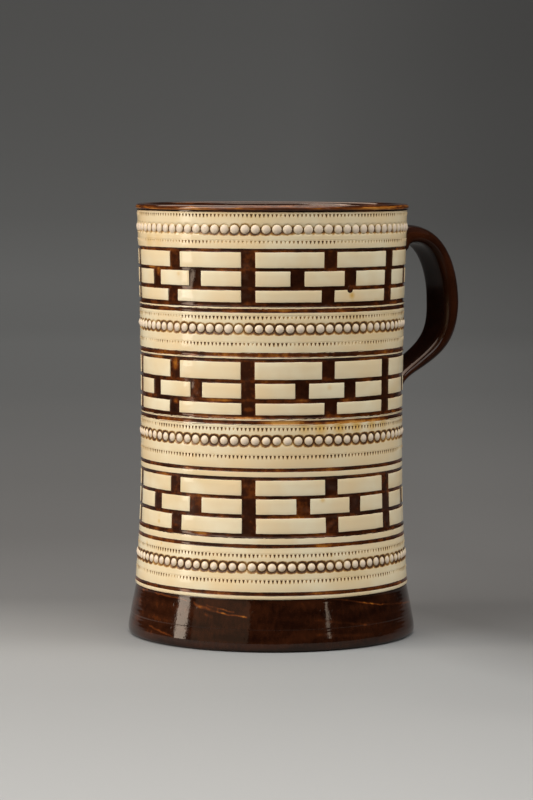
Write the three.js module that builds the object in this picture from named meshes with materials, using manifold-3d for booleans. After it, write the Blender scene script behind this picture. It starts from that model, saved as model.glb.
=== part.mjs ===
// A quart tankard in cream earthenware: a wall turned with three bands of brickwork between four
// cordons of beads, a flared foot, a pulled strap handle, and brown slip in every joint and line
// and over the foot, the lip and the inside.
// Millimetres, +Z up. The origin is the centre of the base, and the handle points along +X.
import * as THREE from "three";
import { mergeVertices } from "three/addons/utils/BufferGeometryUtils.js";
import Module from "manifold-3d";

const wasm = await Module();
wasm.setup();

// Fired clay and slip
const creamClay = { color: 0xe6d9b8, roughness: 0.35, metalness: 0 };
const brownSlip = { color: 0x3a1a0e, roughness: 0.2, metalness: 0 };
const handleSlip = { color: 0x2a120a, roughness: 0.2, metalness: 0 };

// Outside
const footRadius = 55.3; // widest place of the foot
const footRollHeight = 2.4; // how high that place is
const footEdgeInset = 0.9; // the foot draws in again under it
const neckRadius = 52.5; // top of the foot
const wallFootRadius = 52.7; // bottom of the cream wall, a little proud of the foot
const waistRadius = 50.35;
const waistHeight = 80;
const shoulderRadius = 51.8; // right under the lip
const lipRadius = 52.4;
const lipRoll = 0.8; // rounding of the lip's edges
const flarePower = 2.7; // how late the wall flares towards the foot
const shoulderPower = 2; // and towards the lip

// Inside
const wallThickness = 4.4;
const lipThickness = 3.4;
const floorThickness = 6.5;
const floorCorner = 7;

// Heights of the turned rings, going up
const footHeight = 19.6;
const lineWidth = 1.15; // every brown line and every mortar joint
const footFillet = 1.3; // cream ring between the foot and its brown line
const cordonHeights = [16.5, 16.5, 15.1, 13.5];
const beadHeights = [9.2, 10.2, 9.0, 7.2]; // middle of the beads, above the cordon's lower edge
const brickBands = [
  { name: "lower", filletBelow: 2.6, courses: [5.95, 6.0, 5.8], filletAbove: 2.1 },
  { name: "middle", filletBelow: 0.9, courses: [4.9, 5.9, 6.6], filletAbove: 0.9 },
  { name: "upper", filletBelow: 0.9, courses: [4.9, 5.9, 5.9], filletAbove: 0 },
];
const lipHeight = 2.55;

// Brickwork, in degrees round the wall from the handle
const panels = 5;
const firstPanel = 26.5; // the first full-height bar
const seamAngle = 15.75; // what the panels leave beside the handle, filled with one short stack
const barAngle = 6;
const stretcherBars = [34.7]; // bars of the top and bottom course, from the full-height bar
const headerBars = [21.9, 45.5]; // bars of the middle course
const extraFacets = [11, 57]; // more facets of the wall, where no bar gives one

// Beads
const beadCounts = [87, 79, 83, 82];
const beadSize = 3.5;
const beadRelief = 0.5; // how far a bead stands out of the wall
const beadMargin = 1.2; // plain wall kept above a row

// Slip
const jointDepth = 1.0; // of the cut lines and bars
const slipSink = 0.2; // slip lies this far below the cream
const slipThickness = 0.6; // of the coat on the foot, the lip and the inside
const slipGap = 0.12; // between the slip and the clay
const bareEdge = 0.6; // the foot is wiped clean this high

// Handle
const handleDrop = 13.4; // from the rim to the middle of the strap's upper end
const handleSpan = 56.5; // between the middles of its two ends
const handleReach = 25.4; // from the waist to the furthest middle of the strap
const bellyDrop = 26; // how far under the upper end that is
const upperPull = 18.1; // how far the strap heads off from the wall before it turns down
const upperRise = 20.5; // degrees upwards
const upperSweep = 15.2; // pull of the curve above the furthest point
const lowerSweep = 17.8; // and under it
const lowerPull = 19.6;
const lowerRise = 33.3;
const handleWidth = 19;
const upperThickness = 6.5; // at the middle of the strap's width
const bellyThickness = 8; // at its furthest point
const lowerThickness = 3.1;
const jointSpread = 0.4; // the ends are this share wider and thicker, where they are pressed on
const spreadLength = 9; // along the strap
const rootDepth = 3; // the strap starts this far inside the wall, before it is cut
const handleGap = 0.3; // between the strap and the wall
const handleStations = 12; // in each half of the strap
// Half the strap's section: share of the half width, share of the thickness from the palm side
const strapSection = [
  [0.8, 0],
  [1, 0.2],
  [0.96, 0.5],
  [0.66, 0.86],
  [0.24, 1],
];

// The rings of the decoration, going up from the foot
function stackRings() {
  const rings = [];
  let height = footHeight + footFillet;
  const cut = () => {
    height += lineWidth;
    return { low: height - lineWidth, high: height };
  };
  const addCordon = (number) => {
    rings.push({ kind: "beads", middle: height + beadHeights[number], count: beadCounts[number] });
    height += cordonHeights[number];
  };
  rings.push({ kind: "line", name: "foot_line", ...cut() });
  addCordon(0);
  brickBands.forEach((band, number) => {
    rings.push({ kind: "line", name: `line_below_${band.name}_bricks`, ...cut() });
    height += band.filletBelow;
    const joints = [cut()];
    for (const course of band.courses) {
      height += course;
      joints.push(cut());
    }
    rings.push({ kind: "bricks", name: `mortar_slip_${band.name}`, joints });
    height += band.filletAbove;
    if (band.filletAbove > 0) {
      rings.push({ kind: "line", name: `line_above_${band.name}_bricks`, ...cut() });
    }
    addCordon(number + 1);
  });
  return { rings, shoulder: height, top: height + lipHeight };
}
const { rings, shoulder, top } = stackRings();
const coat = slipThickness + slipGap;
const upperJoint = top - handleDrop;
const lowerJoint = upperJoint - handleSpan;
const fullTurn = 2 * Math.PI;
const panelAngle = (360 - seamAngle) / panels;
const halfBar = THREE.MathUtils.degToRad(barAngle / 2);

// Radius of the finished wall at a height
function wallRadius(height) {
  if (height < waistHeight) {
    const share = (waistHeight - height) / (waistHeight - footHeight);
    return waistRadius + (wallFootRadius - waistRadius) * share ** flarePower;
  }
  const share = (height - waistHeight) / (shoulder - waistHeight);
  return waistRadius + (shoulderRadius - waistRadius) * share ** shoulderPower;
}

// An angle from 0 to a full turn, and the way from one angle to another
const inTurn = (angle) => ((angle % fullTurn) + fullTurn) % fullTurn;
const apart = (one, other) => Math.abs(inTurn(one - other + Math.PI) - Math.PI);

// Middles of the bars of one course, for a list of bars in a panel
function barMiddles(barsInPanel) {
  const middles = [];
  for (let panel = 0; panel < panels; panel++) {
    for (const bar of [0, ...barsInPanel]) middles.push(firstPanel + panel * panelAngle + bar);
  }
  middles.push(firstPanel + panels * panelAngle);
  return middles.map((angle) => inTurn(THREE.MathUtils.degToRad(angle)));
}
const courseBars = [stretcherBars, headerBars, stretcherBars].map(barMiddles);

// The corners round the wall, with one at each edge of every bar drawn in by an angle
function wallCorners(drawnIn) {
  const corners = new Map();
  const addCorner = (angle) => corners.set(angle.toFixed(6), angle);
  for (const middle of courseBars.flat()) {
    addCorner(inTurn(middle - halfBar + drawnIn));
    addCorner(inTurn(middle + halfBar - drawnIn));
  }
  for (let panel = 0; panel < panels; panel++) {
    for (const extra of extraFacets) {
      addCorner(inTurn(THREE.MathUtils.degToRad(firstPanel + panel * panelAngle + extra)));
    }
  }
  return [...corners.values()].sort((a, b) => a - b);
}
const corners = wallCorners(0);
const slipCorners = wallCorners(slipGap / waistRadius);

// Whether the column of faces after a corner is a bar of that course
function isBar(angles, course, column) {
  const bars = courseBars[course] ?? [];
  const next = angles[(column + 1) % angles.length];
  const middle = angles[column] + inTurn(next - angles[column]) / 2;
  return bars.some((bar) => apart(middle, bar) < halfBar);
}

// A surface made ring by ring
const newShell = () => ({ positions: [], triangles: [] });

function addCornerAt(shell, radius, angle, height) {
  shell.positions.push(radius * Math.cos(angle), radius * Math.sin(angle), height);
  return shell.positions.length / 3 - 1;
}

function addRing(shell, radius, height, angles) {
  return angles.map((angle) => addCornerAt(shell, radius, angle, height));
}

function addQuad(shell, a, b, c, d) {
  shell.triangles.push(a, b, c, a, c, d);
}

// Faces from one ring to the next, in the columns that are wanted
function bridge(shell, from, to, wanted = () => true) {
  from.forEach((corner, column) => {
    const next = (column + 1) % from.length;
    if (wanted(column)) addQuad(shell, corner, from[next], to[next], to[column]);
  });
}

// Faces between two rings whose corners stand at different angles
function stitch(shell, from, fromAngles, to, toAngles) {
  const angleAfter = (angles, corner) => angles[corner + 1] ?? angles[0] + fullTurn;
  let low = 0;
  let high = 0;
  while (low < from.length || high < to.length) {
    const lowNow = from[low % from.length];
    const highNow = to[high % to.length];
    const lowFirst = angleAfter(fromAngles, low) <= angleAfter(toAngles, high);
    if (high >= to.length || (low < from.length && lowFirst)) {
      low += 1;
      shell.triangles.push(lowNow, from[low % from.length], highNow);
    } else {
      high += 1;
      shell.triangles.push(lowNow, to[high % to.length], highNow);
    }
  }
}

function geometryOf({ positions, triangles }) {
  const geometry = new THREE.BufferGeometry();
  geometry.setAttribute("position", new THREE.Float32BufferAttribute(positions, 3));
  geometry.setIndex(triangles);
  return geometry;
}

// A closed outline of [radius, height] points turned round the axis, and open only on the axis.
// It runs up the outside and down the inside.
function turned(outline, angles = corners) {
  const shell = newShell();
  const made = outline.map(([radius, height]) => addRing(shell, radius, height, angles));
  outline.forEach(([radius], row) => {
    const next = (row + 1) % outline.length;
    const nextRadius = outline[next][0];
    if (radius > 0 && nextRadius > 0) bridge(shell, made[row], made[next]);
    else if (radius > 0) capToAxis(shell, made[row], made[next][0], true);
    else if (nextRadius > 0) capToAxis(shell, made[next], made[row][0], false);
  });
  return geometryOf(shell);
}

// Faces between a ring and the point on the axis that it runs to or comes from
function capToAxis(shell, ring, centre, inwards) {
  ring.forEach((corner, column) => {
    const next = ring[(column + 1) % ring.length];
    if (inwards) shell.triangles.push(corner, next, centre);
    else shell.triangles.push(next, corner, centre);
  });
}

// The V of one cut line: lower edge, point and upper edge as [radius, height]
function lineCut({ low, high }) {
  const middle = (low + high) / 2;
  return [
    [wallRadius(low), low],
    [wallRadius(middle) - jointDepth, middle],
    [wallRadius(high), high],
  ];
}

// The slip in such a line: lower edge, upper edge and point, clear of the cut's two sides
function lineFill({ low, high }) {
  const middle = (low + high) / 2;
  const half = (high - low) / 2;
  const sideGap = slipGap * Math.hypot(1, half / jointDepth);
  const faceHalf = half * (1 - slipSink / jointDepth) - sideGap;
  const depth = jointDepth * (1 - sideGap / half);
  return [
    [wallRadius(middle - faceHalf) - slipSink, middle - faceHalf],
    [wallRadius(middle + faceHalf) - slipSink, middle + faceHalf],
    [wallRadius(middle) - depth, middle],
  ];
}

// Outline of the foot, going up, drawn in by an inset
function footOutline(inset) {
  return [
    [footRadius - inset, footRollHeight],
    [neckRadius - inset, footHeight],
  ];
}

// Outline of the inside, from the rim down to the middle of the floor, drawn in by an inset
function insideOutline(inset) {
  const inner = waistRadius - wallThickness - inset;
  const floor = floorThickness + inset;
  return [
    [lipRadius - lipThickness - inset, top - lipRoll - coat + inset],
    [inner, waistHeight],
    [inner, floor + floorCorner],
    [inner - floorCorner, floor],
    [0, floor],
  ];
}

// Where the strap's two ends cover the wall
function isUnderHandle(angle, height) {
  const spread = 1 + jointSpread;
  const halfWidth = (handleWidth / 2) * spread + handleGap;
  const across = apart(angle, 0) * waistRadius;
  const reach = upperThickness * spread + beadSize;
  const near = [upperJoint, lowerJoint].some((joint) => Math.abs(height - joint) < reach);
  return near && across < halfWidth + beadSize / 2;
}

// The thrown and turned body: base, foot, wall with its bricks and beads, rim, inside and floor
function makeBody() {
  const shell = newShell();
  let last = null;
  const climb = (points) => {
    for (const [radius, height] of points) {
      const ring = addRing(shell, radius, height, corners);
      bridge(shell, last, ring);
      last = ring;
    }
  };
  const base = addCornerAt(shell, 0, 0, 0);
  last = addRing(shell, footRadius - footEdgeInset - coat, 0, corners);
  capToAxis(shell, last, base, false);
  climb(footOutline(coat));
  climb([
    [neckRadius - coat, footHeight + slipGap],
    [wallRadius(footHeight + slipGap), footHeight + slipGap],
  ]);
  for (const ring of rings) {
    if (ring.kind === "line") climb(lineCut(ring));
    if (ring.kind === "bricks") last = climbBricks(shell, last, ring);
    if (ring.kind === "beads") last = climbBeads(shell, last, ring);
  }
  climb([
    [wallRadius(shoulder), shoulder],
    [shoulderRadius - coat, shoulder],
    [lipRadius - coat, top - coat - lipRoll],
    [lipRadius - coat - lipRoll, top - coat],
    [lipRadius - lipThickness + lipRoll, top - coat],
  ]);
  const inside = insideOutline(0);
  climb(inside.slice(0, -1));
  const floor = addCornerAt(shell, 0, 0, inside.at(-1)[1]);
  capToAxis(shell, last, floor, true);
  return geometryOf(shell);
}

// One band of bricks: the cut joints, with the bars cut back to the joints' depth
function climbBricks(shell, below, { joints }) {
  const cuts = joints.map((joint) => {
    return lineCut(joint).map(([radius, height]) => addRing(shell, radius, height, corners));
  });
  bridge(shell, below, cuts[0][0]);
  cuts.forEach(([low, deep, high], joint) => {
    bridge(shell, low, deep, (column) => !isBar(corners, joint - 1, column));
    bridge(shell, deep, high, (column) => !isBar(corners, joint, column));
    if (joint === cuts.length - 1) return;
    const [nextLow, nextDeep] = cuts[joint + 1];
    const inBar = (column) => isBar(corners, joint, column);
    bridge(shell, high, nextLow, (column) => !inBar(column));
    bridge(shell, deep, nextDeep, inBar);
    closeBarSides(shell, inBar, [deep, nextDeep, nextLow, high]);
  });
  return cuts.at(-1)[2];
}

// The two side faces of each bar, from its four rings in the order of the face where a bar starts
function closeBarSides(shell, inBar, [a, b, c, d]) {
  a.forEach((_, column) => {
    const before = (column + a.length - 1) % a.length;
    if (inBar(column) && !inBar(before)) addQuad(shell, a[column], b[column], c[column], d[column]);
    if (!inBar(column) && inBar(before)) addQuad(shell, d[column], c[column], b[column], a[column]);
  });
}

// One row of beads: each stands out of the wall to a point, but for those the handle covers
function climbBeads(shell, below, { middle, count }) {
  const pitch = fullTurn / count;
  const angles = Array.from({ length: count }, (_, bead) => bead * pitch);
  const low = middle - beadSize / 2;
  const high = middle + beadSize / 2;
  const lowRing = addRing(shell, wallRadius(low), low, angles);
  const highRing = addRing(shell, wallRadius(high), high, angles);
  stitch(shell, below, corners, lowRing, angles);
  angles.forEach((angle, bead) => {
    const next = (bead + 1) % count;
    const crest = angle + pitch / 2;
    const relief = isUnderHandle(crest, middle) ? 0 : beadRelief;
    const peak = addCornerAt(shell, wallRadius(middle) + relief, crest, middle);
    const edge = [lowRing[bead], lowRing[next], highRing[next], highRing[bead]];
    edge.forEach((corner, side) => {
      shell.triangles.push(corner, edge[(side + 1) % edge.length], peak);
    });
  });
  const above = addRing(shell, wallRadius(high + beadMargin), high + beadMargin, corners);
  stitch(shell, highRing, angles, above, corners);
  return above;
}

// The slip between the bricks of one band, in one piece: its joints and its bars
function makeMortar({ joints }) {
  const shell = newShell();
  const fills = joints.map((joint) => {
    return lineFill(joint).map(([radius, height]) => addRing(shell, radius, height, slipCorners));
  });
  fills.forEach(([low, high, deep], joint) => {
    bridge(shell, low, high);
    bridge(shell, high, deep, (column) => !isBar(slipCorners, joint, column));
    bridge(shell, deep, low, (column) => !isBar(slipCorners, joint - 1, column));
    if (joint === fills.length - 1) return;
    const [nextLow, , nextDeep] = fills[joint + 1];
    const inBar = (column) => isBar(slipCorners, joint, column);
    bridge(shell, high, nextLow, inBar);
    bridge(shell, nextDeep, deep, inBar);
    closeBarSides(shell, inBar, [deep, high, nextLow, nextDeep]);
  });
  return geometryOf(shell);
}

// The coat on the foot: a sleeve that stops short of the base
function makeFootSlip() {
  const drawnIn = footEdgeInset * (1 - bareEdge / footRollHeight);
  const sleeve = (inset) => [[footRadius - drawnIn - inset, bareEdge], ...footOutline(inset)];
  return turned([...sleeve(0), ...sleeve(slipThickness).reverse()]);
}

// The coat on the lip and the inside, in one piece: up the lip, over the rim and down to the floor
function makeLining() {
  const lip = (inset) => [
    [shoulderRadius - inset, shoulder + slipGap],
    [lipRadius - inset, top - inset - lipRoll],
    [lipRadius - inset - lipRoll, top - inset],
    [lipRadius - lipThickness + lipRoll - coat + inset, top - inset],
  ];
  const face = [...lip(0), ...insideOutline(coat)];
  const back = [...lip(slipThickness), ...insideOutline(slipGap)];
  return turned([...face, ...back.reverse()]);
}

// A point of the handle's plane
const inPlane = (out, up) => new THREE.Vector3(out, 0, up);

// Heading off from the wall at a rise in degrees
function leaving(wall, height, pull, rise) {
  const angle = THREE.MathUtils.degToRad(rise);
  return inPlane(wall + pull * Math.cos(angle), height + pull * Math.sin(angle));
}

// The middle line of the strap, from inside the wall at the top to inside the wall at the bottom
function handleRoute() {
  const upperWall = wallRadius(upperJoint);
  const lowerWall = wallRadius(lowerJoint);
  const reach = waistRadius + handleReach;
  const belly = upperJoint - bellyDrop;
  const upper = new THREE.CubicBezierCurve3(
    inPlane(upperWall, upperJoint),
    leaving(upperWall, upperJoint, upperPull, upperRise),
    inPlane(reach, belly + upperSweep),
    inPlane(reach, belly),
  );
  const lower = new THREE.CubicBezierCurve3(
    inPlane(reach, belly),
    inPlane(reach, belly - lowerSweep),
    leaving(lowerWall, lowerJoint, lowerPull, lowerRise),
    inPlane(lowerWall, lowerJoint),
  );
  const route = new THREE.CurvePath();
  route.add(new THREE.LineCurve3(inPlane(upperWall - rootDepth, upperJoint), upper.v0));
  route.add(upper);
  route.add(lower);
  route.add(new THREE.LineCurve3(lower.v3, inPlane(lowerWall - rootDepth, lowerJoint)));
  return route;
}

// Stations along the route: its two ends, and even steps in each half between them
function handleStops(route) {
  const [upperRoot, upper, lower, lowerRoot] = route.curves;
  const stops = [{ point: upper.v0, along: upper.getTangentAt(0) }];
  for (const half of [upper, lower]) {
    for (let step = 1; step <= handleStations; step++) {
      const share = step / handleStations;
      stops.push({ point: half.getPointAt(share), along: half.getTangentAt(share) });
    }
  }
  const first = { point: upperRoot.v1, along: stops[0].along };
  const last = { point: lowerRoot.v2, along: stops.at(-1).along };
  const all = [first, ...stops, last];
  let travelled = 0;
  all.forEach((stop, station) => {
    if (station > 0) travelled += stop.point.distanceTo(all[station - 1].point);
    stop.travelled = travelled;
  });
  const bellyAt = all[handleStations + 1].travelled;
  for (const stop of all) {
    const upperShare = Math.min(1, stop.travelled / bellyAt);
    const lowerShare = Math.max(0, (stop.travelled - bellyAt) / (travelled - bellyAt));
    stop.thickness = THREE.MathUtils.lerp(upperThickness, bellyThickness, upperShare);
    stop.thickness += (lowerThickness - bellyThickness) * lowerShare;
  }
  return all;
}

// One section of the strap at a stop, as corners of the shell
function addStrapSection(shell, { point, along, travelled, thickness }, length) {
  const toEnd = Math.max(0, Math.min(travelled, length - travelled) - rootDepth);
  const spread = 1 + jointSpread * Math.max(0, 1 - toEnd / spreadLength) ** 2;
  const outwards = inPlane(-along.z, along.x);
  const left = strapSection.map(([across, out]) => [-across, out]).reverse();
  return [...strapSection, ...left].map(([across, out]) => {
    const corner = point.clone().addScaledVector(outwards, (out - 0.5) * thickness * spread);
    corner.y = (across * handleWidth * spread) / 2;
    shell.positions.push(...corner.toArray());
    return shell.positions.length / 3 - 1;
  });
}

// The pulled strap, cut to the wall at both ends
function makeHandle() {
  const shell = newShell();
  const stops = handleStops(handleRoute());
  const length = stops.at(-1).travelled;
  const sections = stops.map((stop) => addStrapSection(shell, stop, length));
  sections.slice(1).forEach((section, station) => bridge(shell, sections[station], section));
  const [first] = sections;
  const last = sections.at(-1);
  for (let side = 1; side < first.length - 1; side++) {
    shell.triangles.push(first[0], first[side + 1], first[side]);
    shell.triangles.push(last[0], last[side], last[side + 1]);
  }
  const wall = solidOf(turned(handleKeepOut()));
  return geometryFrom(solidOf(geometryOf(shell)).subtract(wall));
}

// What the handle stops short of: the wall with the joint's gap round it
function handleKeepOut() {
  const margin = 2 * upperThickness;
  const low = lowerJoint - margin;
  const high = upperJoint + margin;
  const heights = [low, lowerJoint, upperJoint - bellyDrop, upperJoint, high];
  const outline = heights.map((height) => {
    return [wallRadius(Math.min(height, shoulder)) + handleGap, height];
  });
  return [...outline, [0, high], [0, low]];
}

// To a manifold-3d solid and back
function solidOf(geometry) {
  const merged = mergeVertices(geometry, 1e-4);
  return new wasm.Manifold(
    new wasm.Mesh({
      numProp: 3,
      vertProperties: merged.attributes.position.array,
      triVerts: new Uint32Array(merged.index.array),
    }),
  );
}

function geometryFrom(solid) {
  const { vertProperties, triVerts } = solid.getMesh();
  return geometryOf({ positions: Array.from(vertProperties), triangles: Array.from(triVerts) });
}

const tankard = new THREE.Group();

function addPiece(name, geometry, finish) {
  const mesh = new THREE.Mesh(geometry, new THREE.MeshStandardMaterial(finish));
  mesh.geometry.computeVertexNormals();
  mesh.name = name;
  tankard.add(mesh);
}

addPiece("body", makeBody(), creamClay);
addPiece("handle", makeHandle(), handleSlip);
addPiece("foot_slip", makeFootSlip(), brownSlip);
addPiece("lip_and_lining_slip", makeLining(), brownSlip);
for (const ring of rings) {
  if (ring.kind === "line") addPiece(ring.name, turned(lineFill(ring)), brownSlip);
  if (ring.kind === "bricks") addPiece(ring.name, makeMortar(ring), brownSlip);
}

export default tankard;
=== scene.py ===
import random
from contextlib import contextmanager
from math import atan2, copysign, cos, degrees, exp, hypot, pi, radians, sin, sqrt

import bmesh
import bpy
from mathutils import Matrix, Vector, noise


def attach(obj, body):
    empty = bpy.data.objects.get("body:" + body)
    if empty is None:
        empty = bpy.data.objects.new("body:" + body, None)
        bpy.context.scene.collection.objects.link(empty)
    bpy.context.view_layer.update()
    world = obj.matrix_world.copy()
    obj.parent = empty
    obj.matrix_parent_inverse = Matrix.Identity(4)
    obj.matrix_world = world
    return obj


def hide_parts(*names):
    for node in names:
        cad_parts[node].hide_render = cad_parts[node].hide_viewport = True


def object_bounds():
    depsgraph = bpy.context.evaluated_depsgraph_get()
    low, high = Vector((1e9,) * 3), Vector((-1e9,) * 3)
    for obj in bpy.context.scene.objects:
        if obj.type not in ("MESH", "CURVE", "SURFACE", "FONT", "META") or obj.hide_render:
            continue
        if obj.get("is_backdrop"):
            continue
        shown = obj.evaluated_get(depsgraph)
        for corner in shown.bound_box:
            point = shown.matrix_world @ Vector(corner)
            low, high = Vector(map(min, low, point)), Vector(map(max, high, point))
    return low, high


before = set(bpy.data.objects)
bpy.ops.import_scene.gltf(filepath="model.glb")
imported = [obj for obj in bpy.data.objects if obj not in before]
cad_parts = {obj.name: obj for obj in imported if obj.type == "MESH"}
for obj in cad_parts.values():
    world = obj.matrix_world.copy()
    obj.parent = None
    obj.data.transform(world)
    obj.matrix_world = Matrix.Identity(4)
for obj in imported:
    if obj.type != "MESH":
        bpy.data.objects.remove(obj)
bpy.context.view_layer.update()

# The thrown pot: one wall and floor of cream clay, turned on the lathe when leather hard.
# The turning leaves rounded grooves for the slip and flat seats for the rolled rows. The base is
# wiped clean of glaze.
mm = 0.001  # every size is in millimetres, and each finished piece is scaled by this
full_turn = 2 * pi
foot_height = 19.6
waist_radius, waist_height = 50.35, 80
wall_foot_radius, flare_power = 52.7, 2.7
shoulder_radius, shoulder_power = 51.8, 2
line_width = 1.15
foot_fillet = 1.3
lowest_cordon = 16.5
lip_height = 2.55
bands = [
    {"name": "lower", "below": 2.6, "courses": [5.95, 6.0, 5.8], "above": 2.1, "cordon": 16.5},
    {"name": "middle", "below": 0.9, "courses": [4.9, 5.9, 6.6], "above": 0.9, "cordon": 15.1},
    {"name": "upper", "below": 0.9, "courses": [4.9, 5.9, 5.9], "above": 0, "cordon": 13.5},
]
lines = {"foot_line": foot_height + foot_fillet}
height = lines["foot_line"] + line_width + lowest_cordon
for band in bands:
    lines[f"line_below_{band['name']}_bricks"] = height
    height += line_width + band["below"]
    band["joints"] = [height]
    for course in band["courses"]:
        height += line_width + course
        band["joints"].append(height)
    band["bed"] = (band["joints"][0], height + line_width)
    height += line_width + band["above"]
    if band["above"]:
        lines[f"line_above_{band['name']}_bricks"] = height
        height += line_width
    height += band["cordon"]
shoulder = height
top = shoulder + lip_height
groove_depth = 1.05
seat_depth = 0.7
# how far an edge of a groove is rounded: up to the groove, and out from the wall
rounded = [(-0.26, 0), (-0.14, -0.02), (-0.05, -0.07), (0, -0.18)]
square = [(0, 0)]
bead_rows = [(31.25, 87), (78.1, 79), (119.5, 83), (156.15, 82)]  # height and count
bead_seat = 2.65  # half the height of its flat seat
notch_rows = [(25.9, 209), (35.4, 207), (72.0, 204), (82.3, 204), (113.7, 203), (123.5, 204),
              (151.3, 205), (161.1, 208)]
notch_seat = (-1.0, 1.15)
facets = 288
meeting = 0.004  # corners this close are joined


def wall_radius(height):
    if height < waist_height:
        share = (waist_height - height) / (waist_height - foot_height)
        return waist_radius + (wall_foot_radius - waist_radius) * min(share, 1) ** flare_power
    share = (height - waist_height) / (shoulder - waist_height)
    return waist_radius + (shoulder_radius - waist_radius) * share ** shoulder_power


def on_wall(angle, height, out=0.0):
    """The point of the wall at an angle and a height, or one that stands out from it."""
    radius = wall_radius(height) + out
    return Vector((radius * cos(angle), radius * sin(angle), height))


def new_piece(add_primitive, **settings):
    """Adds a primitive with nothing else selected."""
    bpy.ops.object.select_all(action="DESELECT")
    add_primitive(**settings)
    return bpy.context.object


def work_on(piece):
    bpy.ops.object.select_all(action="DESELECT")
    piece.select_set(True)
    bpy.context.view_layer.objects.active = piece


@contextmanager
def editing(piece):
    """Edit mode on one piece, and object mode again after it."""
    work_on(piece)
    bpy.ops.object.mode_set(mode="EDIT")
    yield
    bpy.ops.object.mode_set(mode="OBJECT")


def weld():
    """In edit mode, joins corners that meet, and turns the faces outwards."""
    bpy.ops.mesh.select_all(action="SELECT")
    bpy.ops.mesh.remove_doubles(threshold=meeting)
    bpy.ops.mesh.normals_make_consistent(inside=False)


def turn(outline, around=facets):
    """Draws an outline of (radius, height) corner by corner and spins it round the axis."""
    piece = new_piece(bpy.ops.mesh.primitive_plane_add, size=1)
    with editing(piece):
        bpy.ops.mesh.merge(type="CENTER")
        bpy.ops.transform.translate(value=(outline[0][0], 0, outline[0][1]))
        for (radius, height), (next_radius, next_height) in zip(outline, outline[1:]):
            step = (next_radius - radius, 0, next_height - height)
            bpy.ops.mesh.extrude_region_move(TRANSFORM_OT_translate={"value": step})
        bpy.ops.mesh.select_all(action="SELECT")
        bpy.ops.mesh.spin(steps=around, angle=full_turn, center=(0, 0, 0), axis=(0, 0, 1))
        weld()
    return piece


def finish_piece(piece, name, material, slot, *nodes, smooth=40):
    """Brings a piece from millimetres to metres, names it, smooths it and ties it to the frame."""
    work_on(piece)
    piece.name = piece.data.name = name
    piece.data.transform(Matrix.Scale(mm, 4))
    bpy.ops.object.shade_smooth_by_angle(angle=radians(smooth))
    piece.data.materials.clear()
    piece.data.materials.append(material)
    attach(piece, "root")
    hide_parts(*nodes)


def climb(low, high, step=3):
    """Corners up a plain stretch of wall."""
    count = max(1, round((high - low) / step))
    heights = [low + (high - low) * number / count for number in range(1, count)]
    return [(wall_radius(height), height) for height in heights]


def cut(low, high, depth, edge):
    """Corners into and out of a groove or seat."""
    lower = [(wall_radius(low) + out, low + up) for up, out in edge]
    upper = [(wall_radius(high) + out, high - up) for up, out in reversed(edge)]
    return [*lower, (wall_radius(low) - depth, low), (wall_radius(high) - depth, high), *upper]


cuts = [(low, low + line_width, groove_depth, rounded) for low in lines.values()]
cuts += [(*band["bed"], groove_depth, rounded) for band in bands]
cuts += [(row - bead_seat, row + bead_seat, seat_depth, square) for row, _ in bead_rows]
cuts += [(row + notch_seat[0], row + notch_seat[1], seat_depth, square) for row, _ in notch_rows]
# under the floor, over the ring it stands on, and up the foot
pot_outline = [(0, 0.55), (30, 0.5), (44.8, 0.42), (46.3, 0.3), (46.9, 0.05), (47.6, 0), (53.2, 0),
               (53.45, 0.08), (53.7, 0.3), (53.95, 0.8), (54.2, 1.4), (54.6, 2.4), (53.7, 7.1),
               (53.0, 11.8), (52.05, 16.4), (51.7, 18.6), (51.7, 19.3), (52.2, 19.36), (52.52, 19.5),
               (52.66, 19.75)]
reached = pot_outline[-1][1]
for low, high, depth, edge in sorted(cuts):
    pot_outline += climb(reached, low) + cut(low, high, depth, edge)
    reached = high
pot_outline += climb(reached, shoulder) + [(51.8, shoulder + 0.02), (51.2, shoulder + 0.1)]
# over the rim, down the inside and across the floor
pot_outline += [(51.3, 163.6), (50.9, 164.2), (49.5, 164.2), (49.1, 163.4), (46.0, waist_height),
                (46.0, 14.5), (45.2, 11), (43, 8.3), (39, 6.6), (0, 6.5)]


def add_node(tree, kind, inputs, **settings):
    """A shader node with its settings, and its sockets filled or linked."""
    node = tree.nodes.new(f"ShaderNode{kind}")
    for name, value in settings.items():
        setattr(node, name, value)
    for socket, value in inputs.items():
        if isinstance(value, bpy.types.NodeSocket):
            tree.links.new(value, node.inputs[socket])
        else:
            node.inputs[socket].default_value = value
    return node.outputs


def link(value, socket):
    value.id_data.links.new(value, socket)


def calculate(operation, first, second):
    return add_node(first.id_data, "Math", {0: first, 1: second}, operation=operation)[0]


def add_up(total, *parts):
    for part in parts:
        total = calculate("ADD", total, part)
    return total


def measure(operation, first, second, output="Value"):
    inputs = {0: first, 1: second}
    return add_node(first.id_data, "VectorMath", inputs, operation=operation)[output]


def blend(share, first, second):
    """Goes from the first colour to the second, which may be a plain one."""
    if isinstance(second, tuple):
        second = (*second, 1)
    return add_node(share.id_data, "Mix", {0: share, 6: first, 7: second}, data_type="RGBA")[2]


def between(value, low, high, from_value=0.0, to_value=1.0):
    inputs = {0: value, 1: low, 2: high, 3: from_value, 4: to_value}
    return add_node(value.id_data, "MapRange", inputs, interpolation_type="SMOOTHSTEP")[0]


def place_on_pot(tree, stretch=(1, 1, 1)):
    """Object coordinates, stretched along each axis."""
    here = add_node(tree, "TexCoord", {})["Object"]
    return add_node(tree, "Mapping", {"Vector": here, "Scale": stretch})[0]


def read_layer(tree, name, output="Fac"):
    return add_node(tree, "Attribute", {}, attribute_name=name)[output]


def cloud(where, scale, detail=3, rough=0.5):
    inputs = {"Vector": where, "Scale": scale, "Detail": detail, "Roughness": rough}
    return add_node(where.id_data, "TexNoise", inputs)["Fac"]


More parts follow.
